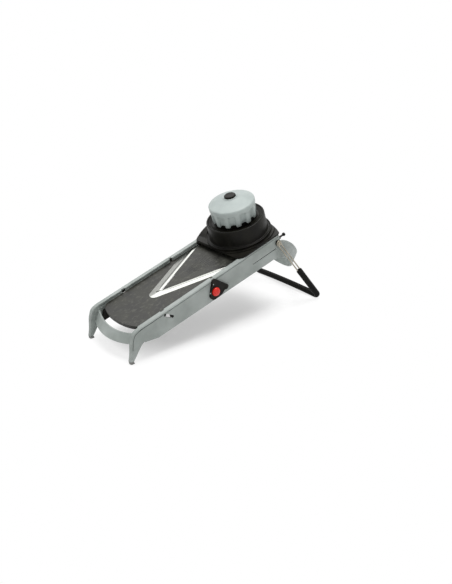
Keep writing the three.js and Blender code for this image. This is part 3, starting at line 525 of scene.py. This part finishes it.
def makeHopper(shape):
    bore, wall, flange = shape["bore"], shape["wall"], shape["flange"]
    profile = [
        (bore, shape["bottom"], 0.4),
        (flange, shape["bottom"], 0.6),
        (flange, shape["bead"], 1.6),
        (flange - 2.1, shape["bead"], 1.0),
        (flange - 2.4, shape["step"], 0.6),
        (wall + 0.4, shape["step"], 1.6),
        (wall - 0.1, shape["step"] + 4, 2),
        (wall - 0.4, shape["top"], 1.7),
        (bore, shape["top"], 1.5),
    ]
    mesh = spun(filleted(profile), segments=160, station=bench["axisStation"])
    newPiece(mesh, "hopper_body", "black_plastic", ["hopper"], smooth=50)


def makeSleeve(shape):
    outer, inner, bore, top = shape["outer"], shape["inner"], shape["bore"], shape["top"]
    profile = [
        (bore, shape["bottom"], 0.3),
        (outer, shape["bottom"], 0.3),
        (outer, top, 0.5),
        (outer - 0.9, top, 0.5),
        (outer - shape["dish"], top - 2.5, 2.5),
        (inner, top - 3, 0.4),
        (inner, top - 6, 0.3),
        (bore, top - 8, 0.3),
    ]
    mesh = spun(filleted(profile), segments=144, station=bench["axisStation"])
    newPiece(mesh, "pusher_sleeve_body", "black_plastic", ["pusher_sleeve"], smooth=50)


makeHopper(hopperShape)
makeSleeve(sleeveShape)

knobShape = {
    "flutes": 12, "depth": 3.3, "rim": 68.4, "bottom": 38.5, "bore": 35,
    "columns": 24,  # mesh columns to a flute
    "recess": (0.2, 0.315),  # where a flute's wall starts and ends, as shares of the pitch
    "hollow": 0.1, "crown": 0.12,  # how round a flute and a lobe are, as shares of the depth
    "archRise": 3.2, "archLevel": 59.6, "archFade": 3.0, "bottomRise": 3.2,
    "plainTop": 3, "riseEnd": 6, "coarseTop": 4,  # each is a distance below the rim
    "outer": [  # radius, level and fillet over the lobes, up the side and over the top
        (38.6, 38.5, 0.9), (39.4, 43, 3), (40.1, 57, 3), (41.35, 62.4, 2.5), (41.35, 68.4, 1.6),
        (40.2, 70.1, 1.6), (36, 71.5, 8), (28, 74, 12), (20, 76.2, 10), (15.5, 77.4, 5),
        (13, 78.4, 1.2), (12.1, 79.9, 0.9), (10.7, 79.95, 0.3),
    ],
    "inner": [  # radius and level, from the button's well down to the bottom rim
        (10.6, 79.9), (10.6, 76.9), (4.4, 76.9), (4.4, 72),
        (22, 70), (35, 65), (35, 41.5), (36.6, 38.6),
    ],
}


def makeKnob(shape):
    pitch = 2 * math.pi / shape["flutes"]
    start, end = shape["recess"]

    def smooth(low, high, value):
        t = max(0.0, min(1.0, (value - low) / (high - low)))
        return t * t * (3 - 2 * t)

    def share(phase):
        # 1 down in a flute, 0 at its edge, and a little below 0 over a lobe
        recess = (1 - smooth(start, end, phase)) * (1 - shape["hollow"] * (phase / start) ** 2)
        rounding = 1 - ((0.5 - phase) / (0.5 - end)) ** 2
        lobe = -shape["crown"] * rounding if phase > end else 0.0
        return max(recess, 0.0) + lobe

    def wave(radius, level, angle):
        phase = abs((angle / pitch) % 1.0 - 0.5)  # a lobe stands on the centre line
        cut = share(phase)
        if radius <= shape["bore"] + 0.01 or level > shape["rim"] - shape["plainTop"]:
            return radius, level
        lift = shape["bottomRise"] * max(cut, 0.0)
        climb = (level - shape["bottom"]) / (shape["rim"] - shape["riseEnd"] - shape["bottom"])
        level += lift * max(0.0, 1 - climb)
        bow = math.sqrt(max(0.0, 1 - (phase / end) ** 2))
        arch = shape["archLevel"] + shape["archRise"] * bow
        fading = 1 - smooth(arch - shape["archFade"], arch, level)
        return radius - shape["depth"] * cut * fading, level

    outside = []
    points = filleted(shape["outer"], closed=False, steps=5)
    for a, b in zip(points, points[1:]):
        fluted = a.y < shape["rim"] - shape["coarseTop"]
        steps = max(1, round((b - a).length)) if fluted else 1
        outside += [a.lerp(b, i / steps) for i in range(steps)]
    outside.append(points[-1])
    inside = [Vector(spot) for spot in shape["inner"]]
    columns = shape["flutes"] * shape["columns"]
    mesh = spun(outside + inside, segments=columns, station=bench["axisStation"], wave=wave)
    newPiece(mesh, "pusher_knob_body", "pale_plastic", ["pusher_knob"], smooth=40)


makeKnob(knobShape)

centreButtonShape = [  # radius, level, fillet
    (0, 69.1, 0), (5.3, 69.1, 0.3), (5.3, 71.5, 0.3), (4, 71.5, 0), (4, 82.2, 0), (8.2, 82.2, 0),
    (8.2, 79.8, 0), (10.15, 79.8, 0.3), (10.15, 82.3, 0.5), (9.1, 83.3, 0.7), (6, 83.4, 0.2),
    (5.6, 83.15, 0.2), (0, 83.1, 0),
]
lockButtonShape = [  # radius, distance out from the middle of the slicer, fillet
    (0, 68.2, 0), (7.55, 68.2, 0.2), (7.55, 70.9, 1.2), (6.7, 72.3, 2.5), (3.4, 73.3, 5),
    (0, 73.55, 0),
]
axisPlace = Matrix.Translation(Vector((bench["axisStation"], 0, 0)) * mm)
lockPlace = outward(bench["lockStation"], bench["lockLevel"], -1)

buttonMesh = spun(
    filleted(centreButtonShape, closed=False), segments=64, station=bench["axisStation"],
    closed=False,
)
newPiece(buttonMesh, "centre_button_body", "black_plastic", ["centre_button"], smooth=40)
lockMesh = spun(filleted(lockButtonShape, closed=False, steps=6), segments=72, closed=False)
lockMesh.transform(lockPlace)
newPiece(lockMesh, "lock_button_body", "red_plastic", ["lock_button"], smooth=40)


def coilPath(radius, turns, low, high, steps=28):
    path = []
    for i in range(turns * steps + 1):
        angle = 2 * math.pi * i / steps
        level = low + (high - low) * i / (turns * steps)
        path.append(Vector((radius * math.cos(angle), radius * math.sin(angle), level)))
    return path


springs = {  # joint, seat and keep: the button that would press each coil, the level it sits on, and the share of its height it would keep; the coils are not squeezed here
    "centre_spring": {
        "radius": 6.1, "wire": 0.5, "turns": 3, "low": 77.6, "high": 81.6,
        "joint": "centre_press", "seat": 77.05, "keep": 0.5, "place": axisPlace,
    },
    "lock_spring": {
        "radius": 4.8, "wire": 0.35, "turns": 2, "low": 66.5, "high": 67.75,
        "joint": "lock_press", "seat": 66.02, "keep": 0.15, "place": lockPlace,
    },
}
for node, spring in springs.items():
    coilMesh = swept(
        coilPath(spring["radius"], spring["turns"], spring["low"], spring["high"]),
        Vector((0, 0, 1)), spring["wire"], spring["wire"], sides=12,
    )
    coilMesh.transform(spring["place"])
    coil = newPiece(coilMesh, node + "_body", "bright_steel", [node])
    place = benchPlace @ spring["place"]
    seat = place @ Vector((0, 0, spring["seat"] * mm))
    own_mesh(coil)

leverMark = {  # two pale dots, each with its station and level
    "profile": [(0, 68.6, 0), (1.0, 68.6, 0), (1.0, 69.15, 0.12), (0, 69.25, 0)],
    "spots": {"lever_mark_thin_body": (185.5, -6.5), "lever_mark_thick_body": (175, -18.6)},
}
for name, (station, level) in leverMark["spots"].items():
    dot = spun(filleted(leverMark["profile"], closed=False), segments=24, closed=False)
    dot.transform(outward(station, level, -1))
    newPiece(dot, name, "pale_plastic", ["thickness_lever"], stands=False)
print("hopper, pusher and buttons made")

standShape = {
    "lean": 35.6, "slope": 15.5,  # degrees: the legs off upright, and the rails off level
    "eye": 4.3, "eyeFrom": 50,  # its radius, and the angle at which the strands run into it
    "neckStart": 2.6, "neckLead": 6, "neck": 3.2,  # neckStart is in eye radii
    "wire": 1.2, "gap": 5.4, "bare": 75, "inSleeve": 8,
    "offset": 68.8, "footHalf": 84, "bend": 7, "legEnd": 8, "arch": 3.6,
    "sleeveAcross": 5.65, "sleeveInPlane": 4.7, "sleeveEdge": 0.8,
    "legSteps": 8, "bendSteps": 16, "footSteps": 12, "neckSteps": 8, "eyeSteps": 32,
}


def makeStand(shape):
    # drawn flat, x down the legs from the pivots, then turned to where it stands open
    turn = Matrix.Rotation(math.radians(90 - shape["lean"] + shape["slope"]), 4, "Y")
    spot = Matrix.Translation(standPivot) @ turn
    lean = math.radians(shape["lean"])
    pivotHeight = joints["stand_fold"]["pos_m"][2] / mm
    across, inPlane = shape["sleeveAcross"], shape["sleeveInPlane"]
    halfFoot = math.hypot(across * math.sin(lean), inPlane * math.cos(lean))
    length = (pivotHeight - halfFoot) / math.cos(lean)
    bend, arch, bare = shape["bend"], shape["arch"], shape["bare"]
    neckStart = shape["eye"] * shape["neckStart"]
    splay = (shape["footHalf"] - shape["offset"]) / (length - bend - neckStart)

    def onLeg(x, z=0.0):
        return Vector((x, shape["offset"] + splay * max(0.0, x - neckStart), z))

    centre = shape["footHalf"] - bend
    tilt = math.atan(splay)
    rise = math.atan(2 * arch / centre)
    steps = shape["legSteps"]
    half = [onLeg(bare + (length - shape["legEnd"] - bare) * i / steps) for i in range(steps + 1)]
    steps = shape["bendSteps"]
    for i in range(steps + 1):
        angle = i / steps * (math.pi / 2 + tilt + rise) - tilt
        x, y = length - bend * (1 - math.sin(angle)), centre + bend * math.cos(angle)
        half.append(Vector((x, y, 0)))
    steps = shape["footSteps"]
    for i in range(1, steps):
        y = centre * (1 - i / steps)
        half.append(Vector((length - arch * (1 - (y / centre) ** 2), y, 0)))
    back = [Vector((p.x, -p.y, 0)) for p in reversed(half)]
    path = half + [Vector((length - arch, 0, 0))] + back
    sleeve = swept(path, Vector((0, 0, 1)), inPlane, across, sides=40)
    sleeve.transform(spot)
    piece = newPiece(sleeve, "stand_sleeve_body", "black_rubber", ["stand_sleeve"])
    softenEdges(piece, shape["sleeveEdge"], segments=3, angle=50)

    strand, neck, eye = shape["gap"] / 2, shape["neck"], shape["eye"]
    stations = (bare + shape["inSleeve"], neckStart + shape["neckLead"], neckStart)
    wire = [onLeg(x, strand) for x in stations]
    for i in range(1, shape["neckSteps"]):
        part = i / shape["neckSteps"]
        x = neckStart + (neck - neckStart) * part
        wire.append(onLeg(x, strand + (neck - strand) * part ** 2))
    back = [Vector((p.x, p.y, -p.z)) for p in reversed(wire)]
    for i in range(shape["eyeSteps"] + 1):
        turned = 2 * (180 - shape["eyeFrom"]) * i / shape["eyeSteps"]
        angle = math.radians(shape["eyeFrom"] + turned)
        wire.append(onLeg(eye * math.cos(angle), eye * math.sin(angle)))
    wire += back
    for side, node in ((1, "stand_wire_far"), (-1, "stand_wire_near")):
        strands = swept(wire, railCross, shape["wire"], shape["wire"], sides=20)
        strands.transform(spot)
        if side < 0:
            strands.transform(Matrix.Scale(-1, 4, railCross))
        newPiece(strands, node + "_body", "bright_steel", [node])


makeStand(standShape)

screwShape = [  # radius, distance out from the middle of the slicer, fillet
    (0, 60.7, 0), (1.9, 60.7, 0), (2.3, 61.1, 0.2), (2.3, 70.4, 0), (3.85, 70.4, 0.2),
    (3.85, 71.0, 0.3), (3.0, 71.7, 0.8), (1.6, 71.78, 0.1), (1.35, 71.1, 0.1), (0, 71.1, 0),
]
tailPinEdge = 0.5
for side, tag in ((1, "far"), (-1, "near")):
    screw = spun(filleted(screwShape, closed=False), segments=48, closed=False)
    screw.transform(outward(bench["pivotStation"], bench["pivotLevel"], side))
    name = f"pivot_screw_{tag}"
    newPiece(screw, name + "_body", "bright_steel", [name], smooth=30)
for tag in ("far", "near"):
    fromNode(f"ramp_tail_pin_{tag}", "black_plastic", tailPinEdge)
print("stand and tail pins made")

studio = {  # metres in the scene's frame
    "worldStrength": 0.38, "target": (0, 0, 0.08),
    "keyPlace": (0.4, -0.25, 4.6), "keyWatts": 170.0, "keySize": 2.4,
    "backPlace": (0.8, 2.75, 4.4), "backWatts": 72.0, "backSize": 3.4,
    "fillPlace": (-2.4, -2.0, 1.6), "fillWatts": 5.0, "fillSize": 1.6,
    # painted light: floorGlow and the fade lighten the object's shadow on the floor, more so further out
    "floorHalf": 3.0, "floorDrop": 0.0002, "floorWhite": 0.96, "floorGlow": 0.4,
    "fadeStart": 0.075, "fadeEnd": 0.2, "fadeShape": (0.72, 0.95, 1),  # where the floor turns white
}


def lamp(name, spot, watts, size):
    data = bpy.data.lights.new(name, "AREA")
    data.energy = watts
    data.size = size
    made = bpy.data.objects.new(name, data)
    bpy.context.scene.collection.objects.link(made)
    made.location = spot
    aim = Vector(studio["target"]) - Vector(spot)
    made.rotation_euler = aim.to_track_quat("-Z", "Y").to_euler()


def seenWhite(shader):
    # 1 for the rays that show the white background, 0 for the ones that light the object
    seen = shader.node("LightPath", output="Is Camera Ray")
    for ray in ("Is Glossy Ray", "Is Transmission Ray"):
        seen = seen.larger(shader.node("LightPath", output=ray))
    return seen


def makeFloor():
    half = studio["floorHalf"]
    corners = ((-half, -half), (half, -half), (half, half), (-half, half))
    mesh = bmesh.new()
    mesh.faces.new([mesh.verts.new((x, y, 0)) for x, y in corners])
    data = bpy.data.meshes.new("floor")
    mesh.to_mesh(data)
    mesh.free()
    floor = bpy.data.objects.new("floor", data)
    bpy.context.scene.collection.objects.link(floor)
    floor.location.z = -studio["floorDrop"]
    shader = Shader(bpy.data.materials.new("floor_white"))
    paper = shader.node("BsdfDiffuse", None, {"Color": (*[studio["floorWhite"]] * 3, 1)})
    glow = shader.node("Emission", None, {"Color": (1, 1, 1, 1), "Strength": 1.0})
    spot = shader.node("TexCoord", output="Object")
    oval = shader.node("VectorMath", {"operation": "MULTIPLY"}, {0: spot, 1: studio["fadeShape"]})
    far = shader.node("VectorMath", {"operation": "LENGTH"}, {0: oval}, "Value")
    # painted light: seen by the camera, the floor glows over part of the shadow, more so further from the middle
    fading = far.fade(studio["fadeStart"], studio["fadeEnd"])
    share = studio["floorGlow"] + (1 - studio["floorGlow"]) * fading
    blend = shader.node("MixShader", None, {0: seenWhite(shader) * share, 1: paper, 2: glow})
    shader.tree.links.new(blend.socket, shader.tree.nodes["Material Output"].inputs["Surface"])
    data.materials.append(shader.owner)


def makeWorld():
    world = bpy.data.worlds.new("studio")
    bpy.context.scene.world = world
    shader = Shader(world)
    strength = studio["worldStrength"] + (1 - studio["worldStrength"]) * seenWhite(shader)
    shader.connect(shader.tree.nodes["Background"], {"Color": (1, 1, 1, 1), "Strength": strength})


makeFloor()
makeWorld()
for name in ("key", "back", "fill"):
    lamp(name, studio[name + "Place"], studio[name + "Watts"], studio[name + "Size"])
print("floor, world and lamps set")

view = {  # in the bench frame, place in millimetres
    "place": (-440.2, -1075.0, 759.8), "right": (0.73352, -0.64354, -0.21867),
    "up": (0.50947, 0.30762, 0.80368), "forward": (0.44992, 0.70090, -0.55351),
    "lens": 52.0, "sensor": 36.0,
}
cameraData = bpy.data.cameras.new("camera")
cameraData.lens = view["lens"]
cameraData.sensor_width = view["sensor"]
camera = bpy.data.objects.new("camera", cameraData)
bpy.context.scene.collection.objects.link(camera)
axes = Matrix((Vector(view["right"]), Vector(view["up"]), -Vector(view["forward"])))
aim = axes.transposed().to_4x4()
aim.translation = Vector(view["place"]) * mm
camera.matrix_world = benchPlace @ aim
bpy.context.scene.camera = camera
bpy.context.scene.view_settings.view_transform = "Standard"

print("scene ready")
